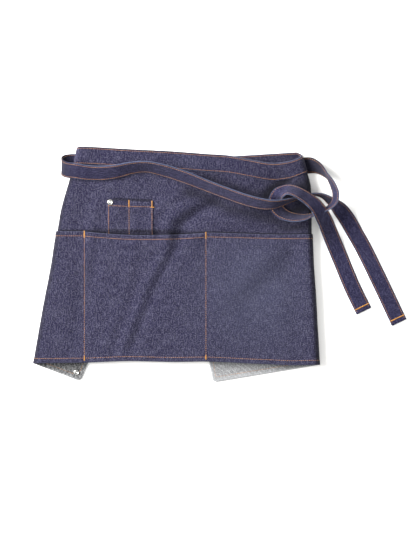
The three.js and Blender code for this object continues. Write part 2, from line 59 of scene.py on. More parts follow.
# The floor: a plain pale matt sheet that the apron lies on, wide enough to fill any view.
FLOOR_REACH = 6.0
bm = bmesh.new()
bmesh.ops.create_grid(bm, x_segments=1, y_segments=1, size=FLOOR_REACH)
floor_mesh = bpy.data.meshes.new("floor")
bm.to_mesh(floor_mesh)
bm.free()
floor = bpy.data.objects.new("floor", floor_mesh)
bpy.context.collection.objects.link(floor)
floor_paint = bpy.data.materials.new("floor_paint")
floor_paint.use_nodes = True
paint = floor_paint.node_tree.nodes["Principled BSDF"]
paint.inputs["Base Color"].default_value = (0.93, 0.925, 0.91, 1.0)
paint.inputs["Roughness"].default_value = 0.9
paint.inputs["Specular IOR Level"].default_value = 0.06
floor.data.materials.append(floor_paint)


# The light: one broad soft lamp low on the left, a weak one above the hem's right half, and a pale
# room all round. Both lamps face the middle of the apron.
def lamp(name, place, size, power, colour):
    data = bpy.data.lights.new(name, "AREA")
    data.shape = "DISK"
    data.size = size
    data.energy = power
    data.color = colour
    holder = bpy.data.objects.new(name, data)
    holder.location = place
    holder.rotation_euler = (-Vector(place)).to_track_quat("-Z", "Y").to_euler()
    bpy.context.collection.objects.link(holder)


lamp("key_light", (-2.15, 0.78, 1.4), 2.0, 300.0, (1.0, 0.99, 0.97))
lamp("fill_light", (0.6, -0.8, 2.6), 2.4, 20.0, (0.97, 0.985, 1.0))
world = bpy.data.worlds.new("room")
world.use_nodes = True
walls = world.node_tree.nodes["Background"]
walls.inputs["Color"].default_value = (1.0, 0.995, 0.985, 1.0)
walls.inputs["Strength"].default_value = 0.82
bpy.context.scene.world = world


# The panel: one cut of indigo denim, its front up and both sides folded under, lying on the floor.
# u runs across the flat cloth from its centre line and v up it from the hem, in millimetres.
MM = 0.001
WIDTH = 690.0
HALF = WIDTH / 2
HEIGHT = 330.0
BAND_WIDTH = 25.0
BAND_FOOT = HEIGHT - BAND_WIDTH
POCKET_DEPTH = 200.0
POCKET_PITCH = 185.0
TIE_WIDTH = 25.0
CORNER_RADIUS = 6.0
CLOTH = 1.0
WALL = 0.9
BAND_THICKNESS = 3.0
TIE_THICKNESS = 2.2
SEAT_GAP = 0.3
TIE_ZONE = HEIGHT * 0.78
HOLLOWS = {"left": 10.0, "right": 11.0}
TURNS = {"left": (20.8, 20.8), "right": (9.4, 3.5)}
RIGHT_CLIMB = 11.0
FRONT_SAG = 2.0
RELIEF = 4.0

# Where each side starts to fold under: share of the height, shares of half the width left and right.
SIDE_FOLDS = (
    (0, 0.761, 0.501), (0.15, 0.735, 0.493), (0.3, 0.708, 0.484), (0.45, 0.681, 0.475),
    (0.606, 0.657, 0.468), (0.72, 0.638, 0.467), (0.85, 0.604, 0.463), (0.925, 0.583, 0.446),
    (1, 0.567, 0.423),
)
# How far the hem, the pocket line and the waist hang, as shares of the height, across the front.
SWAY = (
    (-0.78, 0, -0.004, 0.006), (-0.52, -0.003, -0.004, 0.009), (-0.35, -0.01, 0, 0.019),
    (-0.15, -0.006, 0, 0.03), (0, -0.008, 0, 0.042), (0.1, -0.004, 0.002, 0.049),
    (0.19, 0.001, 0.004, 0.066), (0.29, 0.005, 0.006, 0.083), (0.37, 0.009, 0.007, 0.074),
    (0.44, 0.008, 0.007, 0.05), (0.51, 0.006, 0.007, 0.04),
)
# Broad ridges and dents of the front: x, y, along and across as shares of the width, bearing, rise.
BROAD_FOLDS = (
    (-0.08, 0.35, 0.09, 0.026, 50, 0.6), (0.042, 0.31, 0.12, 0.026, 20, 0.5),
    (0.175, 0.385, 0.055, 0.035, 0, -1.7), (0.165, 0.325, 0.05, 0.03, 0, -1.3),
    (0.05, 0.42, 0.09, 0.022, -10, -0.5), (0.17, 0.12, 0.12, 0.03, 96, 0.3),
    (-0.23, 0.33, 0.07, 0.03, 70, 0.4), (0.08, 0.23, 0.1, 0.05, 20, 0.5),
)
# The dents that the ties' rows were measured from.
SEAT_FOLDS = (
    (-0.035, 0.343, 0.1, 0.02, 42, -0.8), (-0.08, 0.35, 0.09, 0.026, 50, 0.6),
    (0.042, 0.31, 0.12, 0.026, 20, 0.7), (0.19, 0.36, 0.07, 0.06, 0, -0.75),
    (0.13, 0.4, 0.08, 0.026, -12, 0.7), (-0.053, 0.16, 0.13, 0.02, 88, -0.4),
    (-0.09, 0.16, 0.13, 0.02, 88, 0.5), (0.17, 0.12, 0.12, 0.03, 96, 0.4),
    (-0.23, 0.33, 0.07, 0.03, 70, 0.4),
)
# Sharp creases: a line of plan points in millimetres, the crease's half width and its step, which
# falls to the right of the line's way.
CREASES = (
    (((105, 233), (66, 231), (32, 236), (12, 251)), 7.5, 2.6),
    (((12, 251), (-20, 234), (-45, 214), (-54, 174), (-83, 117), (-120, 22)), 7.5, 1.6),
    (((12, 251), (-20, 234), (-45, 214), (-50, 190)), 11.0, 2.4),
    (((-48, 248), (-66, 240), (-76, 214)), 5.0, 1.0),
    (((-100, 215), (-112, 120), (-148, 12)), 8.0, 0.6),
    (((138, 190), (100, 145), (49, 94)), 19.0, 2.0),
    (((-160, 245), (-168, 205), (-178, 120)), 8.0, 0.8),
    (((-186, 160), (-196, 100), (-210, 40)), 12.0, 0.7),
)


def smooth(x, low, high):
    """0 up to low, rising smoothly to 1 from high on; falling instead where low is the greater."""
    share = np.clip((x - low) / (high - low), 0, 1)
    return share * share * (3 - 2 * share)


def mix(a, b, share):
    """The value a given share of the way from a to b."""
    return a + (b - a) * share


def read_table(table, column, at):
    """A smooth curve through one column of a table, read along its first column."""
    rows = np.array(table, float)
    key, value = rows[:, 0], rows[:, column]
    at = np.clip(at, key[0], key[-1])
    low = np.clip(np.searchsorted(key, at) - 1, 0, len(key) - 2)
    high = low + 1
    before, after = np.maximum(low - 1, 0), np.minimum(high + 1, len(key) - 1)
    span = key[high] - key[low]
    s = (at - key[low]) / span
    slope_low = (value[high] - value[before]) / (key[high] - key[before]) * span
    slope_high = (value[after] - value[low]) / (key[after] - key[low]) * span
    return (
        (2 * s**3 - 3 * s**2 + 1) * value[low] + (s**3 - 2 * s**2 + s) * slope_low
        + (3 * s**2 - 2 * s**3) * value[high] + (s**3 - s**2) * slope_high
    )


def under_seat(v):
    """Height of the folded-under cloth: on its pocket cloth at the hem, over the ties at the waist."""
    on_pocket = CLOTH + SEAT_GAP + CLOTH / 2
    on_ties = TIE_THICKNESS + SEAT_GAP + BAND_THICKNESS / 2
    return mix(on_pocket, on_ties, smooth(v, POCKET_DEPTH, TIE_ZONE))


def side_fold(side, v):
    """Where a side starts to fold, its radius, its lean, its climb and where it lies flat again."""
    share = v / HEIGHT
    radius = (HOLLOWS[side] + BAND_THICKNESS) / 2
    start = read_table(SIDE_FOLDS, 1 if side == "left" else 2, share) * HALF - radius - CLOTH / 2
    turn = np.radians(mix(*TURNS[side], share))
    climb = RIGHT_CLIMB * smooth(v, POCKET_DEPTH, HEIGHT) * (side == "right")
    return start, radius, turn, climb, start + math.pi * radius / np.cos(turn / 2)


def ease_under(side, v):
    """The flap eases along its rows, so that its side edge runs straight from hem to waist."""
    def end_x(at):
        start, _, turn, _, under = side_fold(side, np.asarray(at, float))
        return start - np.cos(turn) * (HALF - under)
    start = side_fold(side, v)[0]
    straight = mix(end_x(0.0), end_x(HEIGHT), v / HEIGHT)
    return (start - straight) / (start - end_x(v))


def front_y(u, v):
    """How far up the front a point of the flat cloth lies, once the cloth hangs in its soft waves."""
    at = u / HALF
    low = mix(read_table(SWAY, 1, at), read_table(SWAY, 2, at), np.clip(v / POCKET_DEPTH, 0, 1))
    drop = mix(low, read_table(SWAY, 3, at), smooth(v, POCKET_DEPTH * 0.9, BAND_FOOT))
    return v - drop * HEIGHT


def rumple(x, y, size, seed):
    """Soft random hills about size millimetres across, between about -1 and 1."""
    cells = 256
    hills = np.random.default_rng(seed).uniform(-1, 1, (cells, cells))
    px, py = x / size + cells / 2, y / size + cells / 2
    ix, iy = np.floor(px).astype(int), np.floor(py).astype(int)
    sx, sy = (t * t * (3 - 2 * t) for t in (px - ix, py - iy))
    at = lambda a, b: hills[(ix + a) % cells, (iy + b) % cells]
    return mix(mix(at(0, 0), at(1, 0), sx), mix(at(0, 1), at(1, 1), sx), sy)


def off_line(line, x, y):
    """Signed distance right of a smooth line of points, and 1 along it falling to 0 past its ends."""
    line = np.array(line, float)[::-1]
    across = np.interp(y, line[:, 1], line[:, 0])
    slope = np.gradient(line[:, 0], line[:, 1])
    lean = np.interp(y, line[:, 1], slope)
    low, high = line[0, 1], line[-1, 1]
    end = smooth(y, low - 25, low + 15) * smooth(y, high + 12, high - 20)
    return (x - across) / np.hypot(1, lean), end


def front_z(u, v, creased=True):
    """Height of the front cloth's middle; without its creases it is what the ties are laid on."""
    left, right = side_fold("left", v), side_fold("right", v)
    across = np.clip((u + left[0]) / (left[0] + right[0]), 0, 1)
    y = front_y(u, v)
    level = under_seat(v) + 2 * mix(left[1], right[1], smooth(across, 0, 1))
    relief = 0.0 * u
    for x0, y0, along, aside, bearing, rise in BROAD_FOLDS if creased else SEAT_FOLDS:
        turn = math.radians(bearing)
        dx, dy = u / WIDTH - x0, y / WIDTH - y0
        a = (dx * math.cos(turn) + dy * math.sin(turn)) / along
        b = (dy * math.cos(turn) - dx * math.sin(turn)) / aside
        relief = relief + RELIEF * rise * np.exp(-a * a - b * b)
    if not creased:
        window = smooth(across, 0, 0.22) * (1 - smooth(across, 0.78, 1))
        return level + (relief - FRONT_SAG) * window
    relief = relief - FRONT_SAG + 0.5 * rumple(u, y, 46, 3) + 0.22 * rumple(u, y, 17, 4)
    for line, spread, step in CREASES:
        off, end = off_line(line, u, y)
        relief = relief - step * off / spread * np.exp(0.5 - (off / spread) ** 2 / 2) * end
    return level + relief * smooth(across, 0, 0.1) * (1 - smooth(across, 0.92, 1))


# The record's frame has its origin under the middle of the wrapped apron.
PLAN_SHIFT = np.array((-21.37, -149.26, 0.0))


def place(u, v, depth=0.0):
    """The point, in metres, of the wrapped apron at u, v of the flat cloth, depth off its middle."""
    u, v, depth = np.broadcast_arrays(*(np.asarray(t, float) for t in (u, v, depth)))
    point = np.stack((u, front_y(u, v), front_z(u, v) + depth), -1)
    for side, sign in (("left", -1), ("right", 1)):
        start, radius, turn, climb, _ = side_fold(side, v)
        past = sign * u - start
        lean = turn / 2
        bent = np.clip(past * np.cos(lean) / radius, 0, math.pi)
        slide = bent * radius * np.tan(lean)
        rest = np.maximum(past - bent * radius / np.cos(lean), 0) * ease_under(side, v)
        reach = (radius + depth) * np.sin(bent)
        x = start + np.sin(lean) * slide + np.cos(lean) * reach - np.cos(turn) * rest
        y = (front_y(sign * start, v) - np.cos(lean) * slide + np.sin(lean) * reach
             - np.sin(turn) * rest + climb * bent / math.pi)
        z = under_seat(v) + radius + (radius + depth) * np.cos(bent)
        point = np.where((past > 0)[..., None], np.stack((sign * x, y, z), -1), point)
    return (point + PLAN_SHIFT) * MM


def front_share(u, v):
    """1 on the upper side of the wrapped apron, falling to 0 round each fold."""
    left, right = side_fold("left", v), side_fold("right", v)
    return smooth(u + left[4], 0, 14) * smooth(right[4] - u, 0, 14)


def finish_mesh(bm, name, flat=None, values=None):
    """A bmesh made an object, with the flat cloth's coordinates in its UV map, in metres."""
    mesh = bpy.data.meshes.new(name)
    bm.to_mesh(mesh)
    bm.free()
    mesh.shade_smooth()
    if flat is not None:
        corner = np.empty(len(mesh.loops), int)
        mesh.loops.foreach_get("vertex_index", corner)
        mesh.uv_layers.new(name="flat").data.foreach_set("uv", (flat[corner] * MM).ravel())
    for key, value in (values or {}).items():
        mesh.attributes.new(key, "FLOAT", "POINT").data.foreach_set("value", value)
    piece = bpy.data.objects.new(name, mesh)
    bpy.context.collection.objects.link(piece)
    return piece


def cloth_grid(low, high, steps):
    """A flat rectangle of cloth in u and v, and the u and v of its points."""
    bm = bmesh.new()
    bmesh.ops.create_grid(bm, x_segments=steps[0], y_segments=steps[1], size=0.5)
    share = np.array([vert.co for vert in bm.verts]) + 0.5
    return bm, mix(low[0], high[0], share[:, 0]), mix(low[1], high[1], share[:, 1])


def round_corners(u, v):
    """Draws the flat cloth's two lower corners in to their radius."""
    short = np.clip(CORNER_RADIUS - v, 0, CORNER_RADIUS)
    cut = CORNER_RADIUS - np.sqrt(CORNER_RADIUS**2 - short**2)
    near = np.clip((np.abs(u) - (HALF - 20)) / 20, 0, 1)
    return u - np.sign(u) * cut * near


def set_points(bm, points):
    """Lays each of a bmesh's points in its own place, in metres."""
    for vert, co in zip(bm.verts, points.tolist()):
        vert.co = co


def thicken(piece, thickness, inner_slot=0):
    """A wall for a cut of cloth, half to each side of its middle."""
    wall = piece.modifiers.new("wall", "SOLIDIFY")
    wall.thickness = thickness * MM
    wall.offset = 0.0
    wall.material_offset = inner_slot


# Twill weave, shared by every denim piece: the warp's diagonal ridges, the pale weft between them
# and the uneven yarn. It reads the flat cloth's own coordinates, in metres.
def build_twill():
    group = bpy.data.node_groups.new("twill", "ShaderNodeTree")
    group.interface.new_socket("Vector", in_out="INPUT", socket_type="NodeSocketVector")
    group.interface.new_socket("Yarn", in_out="INPUT", socket_type="NodeSocketFloat")
    for mask in ("Weft", "Speck", "Streak", "Height"):
        group.interface.new_socket(mask, in_out="OUTPUT", socket_type="NodeSocketFloat")
    nodes, links = group.nodes, group.links
    given, gives = nodes.new("NodeGroupInput"), nodes.new("NodeGroupOutput")

    def wire(kind, settings=(), **ins):
        node = nodes.new(kind)
        for key, value in settings:
            setattr(node, key, value)
        for key, value in ins.items():
            socket = node.inputs[int(key[1:])] if key[1:].isdigit() else node.inputs[key]
            if isinstance(value, bpy.types.NodeSocket):
                links.new(value, socket)
            else:
                socket.default_value = value
        return node

    def maths(operation, a, b=0.0):
        return wire("ShaderNodeMath", (("operation", operation),), _0=a, _1=b).outputs[0]

    cut = wire("ShaderNodeSeparateXYZ", Vector=given.outputs["Vector"])
    across = maths("DIVIDE", cut.outputs[0], given.outputs["Yarn"])
    along = maths("DIVIDE", cut.outputs[1], given.outputs["Yarn"])
    slant = maths("FRACT", maths("DIVIDE", maths("SUBTRACT", across, along), 4.0))
    ridge = maths("SINE", maths("MULTIPLY", slant, 2 * math.pi))
    yarns = maths("ABSOLUTE", maths("SINE", maths("MULTIPLY", across, math.pi)))
    weft = maths("GREATER_THAN", ridge, 0.55)
    cells = wire("ShaderNodeCombineXYZ", X=maths("FLOOR", across), Y=maths("FLOOR", along))
    pick = wire("ShaderNodeTexWhiteNoise", (("noise_dimensions", "2D"),), Vector=cells.outputs[0])
    flat = given.outputs["Vector"]
    speck = wire("ShaderNodeTexNoise", Vector=flat, Scale=560.0, Detail=2.0, Roughness=0.7)
    warp = wire("ShaderNodeMapping", Vector=flat, Scale=(1.0, 0.22, 1.0)).outputs[0]
    streak = wire("ShaderNodeTexNoise", Vector=warp, Scale=520.0, Detail=3.0, Roughness=0.65)
    links.new(maths("MULTIPLY", weft, pick.outputs["Value"]), gives.inputs["Weft"])
    links.new(speck.outputs["Fac"], gives.inputs["Speck"])
    links.new(streak.outputs["Fac"], gives.inputs["Streak"])
    links.new(maths("MULTIPLY", maths("ADD", ridge, 1.2), yarns), gives.inputs["Height"])
    return group


TWILL = build_twill()
# Near-black indigo: the colour of painted shade.
PAINTED_SHADE_COLOUR = (0.0015, 0.0015, 0.003)


def denim(name, deep, worn, pale, edge, yarn=0.00055, ribs=0.3):
    """Denim with an indigo warp and pale weft. A value at each point makes it lighter above 0, on
    rubbed edges, and below 0 turns it toward near-black indigo: painted shade, where shadow falls on
    the cloth."""
    deep, worn, pale, edge, shade_colour = ((*c, 1) for c in (deep, worn, pale, edge, PAINTED_SHADE_COLOUR))
    material = bpy.data.materials.new(name)
    material.use_nodes = True
    nodes, links = material.node_tree.nodes, material.node_tree.links
    cloth = nodes["Principled BSDF"]
    cloth.inputs["Roughness"].default_value = 0.92
    cloth.inputs["Specular IOR Level"].default_value = 0.1
    cloth.inputs["Sheen Weight"].default_value = 0.05
    cloth.inputs["Sheen Roughness"].default_value = 0.6
    flat = nodes.new("ShaderNodeUVMap")
    flat.uv_map = "flat"
    weave = nodes.new("ShaderNodeGroup")
    weave.node_tree = TWILL
    weave.inputs["Yarn"].default_value = yarn
    links.new(flat.outputs[0], weave.inputs["Vector"])
    wear_and_shade_node = nodes.new("ShaderNodeAttribute")
    wear_and_shade_node.attribute_name = "worn"

    def blend(factor, a, b):
        node = nodes.new("ShaderNodeMix")
        node.data_type = "RGBA"
        for socket, value in ((node.inputs[0], factor), (node.inputs[6], a), (node.inputs[7], b)):
            if isinstance(value, bpy.types.NodeSocket):
                links.new(value, socket)
            else:
                socket.default_value = value
        return node.outputs[2]

    def ramp(source, low, high, top=1.0):
        node = nodes.new("ShaderNodeMapRange")
        node.inputs["From Min"].default_value = low
        node.inputs["From Max"].default_value = high
        node.inputs["To Max"].default_value = top
        links.new(source, node.inputs["Value"])
        return node.outputs[0]

    colour = blend(ramp(weave.outputs["Streak"], 0.4, 0.6), deep, worn)
    colour = blend(ramp(weave.outputs["Streak"], 0.52, 0.66, 0.55), colour, pale)
    colour = blend(ramp(weave.outputs["Speck"], 0.5, 0.64, 0.72), colour, pale)
    colour = blend(ramp(weave.outputs["Speck"], 0.5, 0.38, 0.8), colour, deep)
    colour = blend(ramp(weave.outputs["Weft"], 0.2, 1.0, ribs), colour, pale)
    cloud = nodes.new("ShaderNodeTexNoise")
    cloud.inputs["Scale"].default_value = 46.0
    cloud.inputs["Detail"].default_value = 3.0
    links.new(flat.outputs[0], cloud.inputs["Vector"])
    colour = blend(ramp(cloud.outputs["Fac"], 0.52, 0.36, 0.13), colour, deep)
    colour = blend(ramp(cloud.outputs["Fac"], 0.52, 0.68, 0.09), colour, pale)
    # Above 0: lighter rubbed edges, on the ties partly a painted highlight. Below 0: painted shade.
    colour = blend(ramp(wear_and_shade_node.outputs["Fac"], 0.0, 1.0, 0.7), colour, edge)
    colour = blend(ramp(wear_and_shade_node.outputs["Fac"], 0.0, -1.0, 0.95), colour, shade_colour)
    links.new(colour, cloth.inputs["Base Color"])
    bump = nodes.new("ShaderNodeBump")
    bump.inputs["Strength"].default_value = 0.35
    bump.inputs["Distance"].default_value = 0.00025
    links.new(weave.outputs["Height"], bump.inputs["Height"])
    links.new(bump.outputs[0], cloth.inputs["Normal"])
    return material


DENIM = denim(
    "indigo_denim", deep=(0.003, 0.0023, 0.0145), worn=(0.0168, 0.0148, 0.044),
    pale=(0.068, 0.067, 0.096), edge=(0.05, 0.055, 0.09),
)
WRONG_SIDE = denim(
    "denim_wrong_side", deep=(0.035, 0.035, 0.036), worn=(0.112, 0.113, 0.115),
    pale=(0.29, 0.295, 0.303), edge=(0.38, 0.39, 0.403), yarn=0.0019, ribs=0.7,
)

HEM_TURN = 7.0
PEN_WIDTH = 70.0
PEN_INSET = 35.0
PEN_RISE = 52.0
PEN_LEFT = -POCKET_PITCH + PEN_INSET
PEN_RIGHT = PEN_LEFT + PEN_WIDTH
PEN_TOP = POCKET_DEPTH + PEN_RISE
MOUTH_GAPE = 3.2
MOUTH_SAG = 4.2
MOUTH_DENT = 7.0
FOLD_SHADE = 0.6


def mouth_span(u):
    """From 0 at the middle pocket's corners to 1 halfway between them."""
    across = np.clip((u + POCKET_PITCH) / POCKET_PITCH, 0, 1)
    return np.sin(math.pi * across) ** 0.7


def pocket_gape(u, v):
    """How far the middle pocket's mouth hangs open, from 0 at its corners to 1."""
    return smooth(v, POCKET_DEPTH * 0.55, POCKET_DEPTH) * mouth_span(u)


def mouth_dent(u, v):
    """How far the panel sinks away behind the hanging mouth."""
    tall = smooth(v, POCKET_DEPTH - 50, POCKET_DEPTH - 15)
    return MOUTH_DENT * mouth_span(u) * tall * smooth(v, POCKET_DEPTH + 6, POCKET_DEPTH - 2)


def fold_shade(u, v):
    """How much painted shade lies on the turn of each side fold, where the cloth turns away; 0 on the
    front.
    """
    reach = np.where(u < 0, -u - side_fold("left", v)[0], u - side_fold("right", v)[0])
    return FOLD_SHADE * smooth(reach, -0.8, 3.5) * smooth(reach, 40, 20)


def pocket_shade(u, v):
    """Painted shade: 0 above the pockets, rising over the few millimetres just above the mouth to 1
    inside them.
    """
    mouth = POCKET_DEPTH - MOUTH_SAG * mouth_span(u)
    return front_share(u, v) * smooth(v, mouth + 3.6, mouth + 0.2)


def two_sided(piece):
    """One cut of denim, indigo on its face and pale on its wrong side."""
    piece.data.materials.append(DENIM)
    piece.data.materials.append(WRONG_SIDE)
    thicken(piece, WALL, inner_slot=1)


# Painted shade on the front beside the right tie and round the knot: lines of plan points, their half
# width and how dark, then round spots, each with its u, v, width, height and how dark.
TIE_SHADES = (
    (((-30, 262), (-2, 254), (34, 236), (78, 226), (128, 210)), 10, 0.55),
    (((-2, 281), (36, 268), (74, 254), (97, 250)), 9, 0.42),
    (((86, 252), (100, 264), (126, 281)), 10, 0.85),
)
KNOT_SHADES = ((150, 284, 34, 20, 0.88), (142, 246, 30, 13, 0.93), (132, 212, 30, 8, 0.72))


def tie_shade(u, v, line, wide, dark):
    """How much painted shade lies on the front beside one line of plan points that runs across it."""
    line = np.array(line, float)
    lean = np.interp(u, line[:, 0], np.gradient(line[:, 1], line[:, 0]))
    off = (front_y(u, v) - np.interp(u, line[:, 0], line[:, 1])) / np.hypot(1, lean)
    low, high = line[0, 0], line[-1, 0]
    along = smooth(u, low - 20, low + 8) * smooth(u, high + 16, high - 4)
    return dark * np.exp(-(off / wide) ** 2) * along * front_share(u, v)


def knot_shade(u, v, x, y, wide, tall, dark):
    """How much painted shade lies on the front at one round spot."""
    return dark * np.exp(-((u - x) / wide) ** 2 - ((v - y) / tall) ** 2)


PANEL_CUT = 312.0
bm, u, v = cloth_grid((-HALF, 0), (HALF, PANEL_CUT), (300, 134))
u = round_corners(u, v)
set_points(bm, place(u, v, -mouth_dent(u, v)))
hem_wear = np.maximum(smooth(v, 2.5, 0), smooth(np.abs(u), HALF - 2.5, HALF))
# Painted shade on the panel in a narrow strip just above the pen pocket's top edge.
pen_top_shade = 0.8 * smooth(v, PEN_TOP - 1, PEN_TOP + 0.5) * smooth(v, PEN_TOP + 3.6, PEN_TOP + 1.2)
pen_top_shade = pen_top_shade * (u > PEN_LEFT + 8) * (u < PEN_RIGHT - 1)
turned_hem = smooth(np.minimum(v, HALF - np.abs(u)), HEM_TURN + 1, HEM_TURN - 1)
# Painted light on the right back corner and painted shade on the left one, near the hem.
corner_light_and_shade = (0.35 * smooth(u, 200, 290) - 0.4 * smooth(-u, 200, 290)) * smooth(v, 70, 20)
# The panel's painted shade: in and over the pockets, over the pen pocket, on the folds, by the tie and
# knot.
painted_shade = np.maximum.reduce((
    pocket_shade(u, v), pen_top_shade, fold_shade(u, v),
    *(tie_shade(u, v, *row) for row in TIE_SHADES), *(knot_shade(u, v, *row) for row in KNOT_SHADES),
))
worn = hem_wear + corner_light_and_shade + 0.2 * turned_hem - painted_shade
panel = finish_mesh(bm, "panel_cloth", np.stack((u, v), -1), {"worn": worn})
two_sided(panel)
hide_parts("apron_panel")
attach(panel, "root")

# The pocket cloth: a second cut as wide as the panel, sewn to it along the hem, the sides and the
# upright stitch rows. It stands off the panel at the middle pocket's mouth.
MOUTH_HEM = 7.3
SEAM_GAP = 0.05
DIVIDERS = (-POCKET_PITCH, 0.0, POCKET_PITCH)


def pocket_depth(u, v):
    """The pocket cloth's middle, off the panel's: tight at its seams, a little loose between them."""
    seam = np.minimum.reduce([np.abs(u - x) for x in (-HALF, *DIVIDERS, HALF)])
    slack = smooth(seam, 0, 28) * smooth(v, 6, 40) * front_share(u, v)
    loose = 0.5 * slack * (1 + rumple(u, v, 30, 8)) * (1 - pocket_gape(u, v))
    turned = 0.35 * smooth(v, POCKET_DEPTH - MOUTH_HEM - 1, POCKET_DEPTH - MOUTH_HEM + 1)
    turned = turned + 0.35 * smooth(v, MOUTH_HEM + 1, MOUTH_HEM - 1)
    return CLOTH + SEAM_GAP + MOUTH_GAPE * pocket_gape(u, v) + loose + turned * front_share(u, v)


def place_pocket(u, v, depth=0.0):
    """A point of the wrapped pocket cloth, whose middle mouth also hangs a little low."""
    points = place(u, v, pocket_depth(u, v) + depth)
    points[..., 1] -= MOUTH_SAG * MM * pocket_gape(u, v) * front_share(u, v)
    return points


bm, u, v = cloth_grid((-HALF, 0), (HALF, POCKET_DEPTH), (330, 96))
u = round_corners(u, v)
set_points(bm, place_pocket(u, v))
# Rubbed, lighter mouth and hem edges, a broad lighter patch right of the middle, painted shade on the
# folds.
edge = np.maximum(smooth(v, POCKET_DEPTH - 2.2, POCKET_DEPTH), smooth(v, 2.2, 0))
lighter_patch = 0.4 * np.exp(-((u - 74) / 80) ** 2 - ((v - 112) / 90) ** 2) * (v < POCKET_DEPTH - MOUTH_HEM)
worn = 0.5 * edge + lighter_patch - fold_shade(u, v)
pocket = finish_mesh(bm, "pocket_cloth", np.stack((u, v), -1), {"worn": worn})
two_sided(pocket)
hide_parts("pocket_panel")
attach(pocket, "root")

# The waistband: a strip folded over the panel's top edge, turned in at both feet and sewn through
# near each edge, so that it stands up a little between the two stitch rows.
BAND_RISE = 2.2
BAND_STITCH_IN = 2.4
BAND_STITCH_TOP = HEIGHT - BAND_STITCH_IN
BAND_STITCH_FOOT = BAND_FOOT + BAND_STITCH_IN
BAND_TURN = 1.35
BAND_WALL = 0.7
BAND_DENIM = denim(
    "band_denim", deep=(0.003, 0.0023, 0.015), worn=(0.0155, 0.0135, 0.0425),
    pale=(0.063, 0.061, 0.092), edge=(0.075, 0.09, 0.14),
)


def place_band(u, v, depth=0.0):
    """A point of the wrapped band, whose folded top edge stands a little proud."""
    points = place(u, v, depth)
    points[..., 1] += BAND_RISE * MM * smooth(v, BAND_FOOT, HEIGHT)
    return points


def band_half(u, v):
    """Half the folded band's thickness at a point: full between its stitch rows, drawn in at them."""
    between = smooth(v, BAND_STITCH_FOOT, BAND_FOOT + 7) * smooth(v, BAND_STITCH_TOP, HEIGHT - 7)
    foot = 1 - 0.25 * smooth(v, BAND_FOOT + 1.5, BAND_FOOT)
    pucker = 0.05 * rumple(u, v, 4.5, 21) * (1 - between) + 0.08 * rumple(u, v, 11, 22)
    return BAND_TURN * foot * (0.82 + 0.18 * between) + pucker


band_rise = BAND_WIDTH - BAND_TURN
round_run = math.pi * BAND_TURN
bm, u, w = cloth_grid((-HALF, 0), (HALF, 2 * band_rise + round_run), (460, 34))
side = np.sign(w - band_rise - round_run / 2)
around = np.clip((w - band_rise) / round_run, 0, 1) * math.pi
flat_run = np.minimum(np.where(side < 0, w, 2 * band_rise + round_run - w), band_rise)
v = BAND_FOOT + flat_run + BAND_TURN * np.sin(around)
crown = np.cos(around) * band_half(u, v)
set_points(bm, place_band(u, v, crown))
# Top edge: painted shade on its left part, where it rolls over, rubbed lighter on its right; foot edge
# rubbed.
rubbed_and_shaded_edges = (1.2 * smooth(u, -10, 60) - 0.5) * smooth(v, HEIGHT - 1.6, HEIGHT - 0.4)
rubbed_and_shaded_edges = rubbed_and_shaded_edges + 0.5 * smooth(v, BAND_FOOT + 1.0, BAND_FOOT)
# The band is also a little lighter left of the middle and darker towards its right end.
worn = rubbed_and_shaded_edges + 0.08 * np.exp(-((u + 24) / 32) ** 2) - 0.26 * smooth(u, 10, 150)
band = finish_mesh(bm, "waistband_cloth", np.stack((u, w), -1), {"worn": worn})
band.data.materials.append(BAND_DENIM)
thicken(band, BAND_WALL)
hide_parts("waistband")
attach(band, "root")

# The pen pocket: a small patch above the middle pocket's left end, its foot tucked inside it and
# its top edge turned and stitched. An inner stitch row makes a narrow pen slot of its left part.
PEN_TUCK = 22.0
PEN_SLOT_WIDTH = 33.0
PEN_FOOT = POCKET_DEPTH - PEN_TUCK
PEN_SLOT = PEN_LEFT + PEN_SLOT_WIDTH
PEN_HEM = 10.0


def pen_depth(u, v):
    """The pen pocket's middle, off the panel's: tight at its seams and foot, loose at its top."""
    seam = np.minimum.reduce([np.abs(u - x) for x in (PEN_LEFT, PEN_SLOT, PEN_RIGHT)])
    open_top = smooth(seam, 0, 12) * smooth(v, PEN_FOOT, PEN_TOP)
    turned = 0.3 * smooth(v, PEN_TOP - PEN_HEM - 1, PEN_TOP - PEN_HEM + 1)
    return CLOTH + SEAM_GAP + 0.9 * open_top + turned - mouth_dent(u, v)


bm, u, v = cloth_grid((PEN_LEFT, PEN_FOOT), (PEN_RIGHT, PEN_TOP), (56, 60))
set_points(bm, place(u, v, pen_depth(u, v)))
# Painted shade along the pen pocket's top edge and on its foot inside the middle pocket.
worn = -np.maximum(0.7 * smooth(v, PEN_TOP - 2, PEN_TOP), pocket_shade(u, v))
pen = finish_mesh(bm, "pen_pocket_cloth", np.stack((u, v), -1), {"worn": worn})
two_sided(pen)
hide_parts("pen_pocket")
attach(pen, "root")

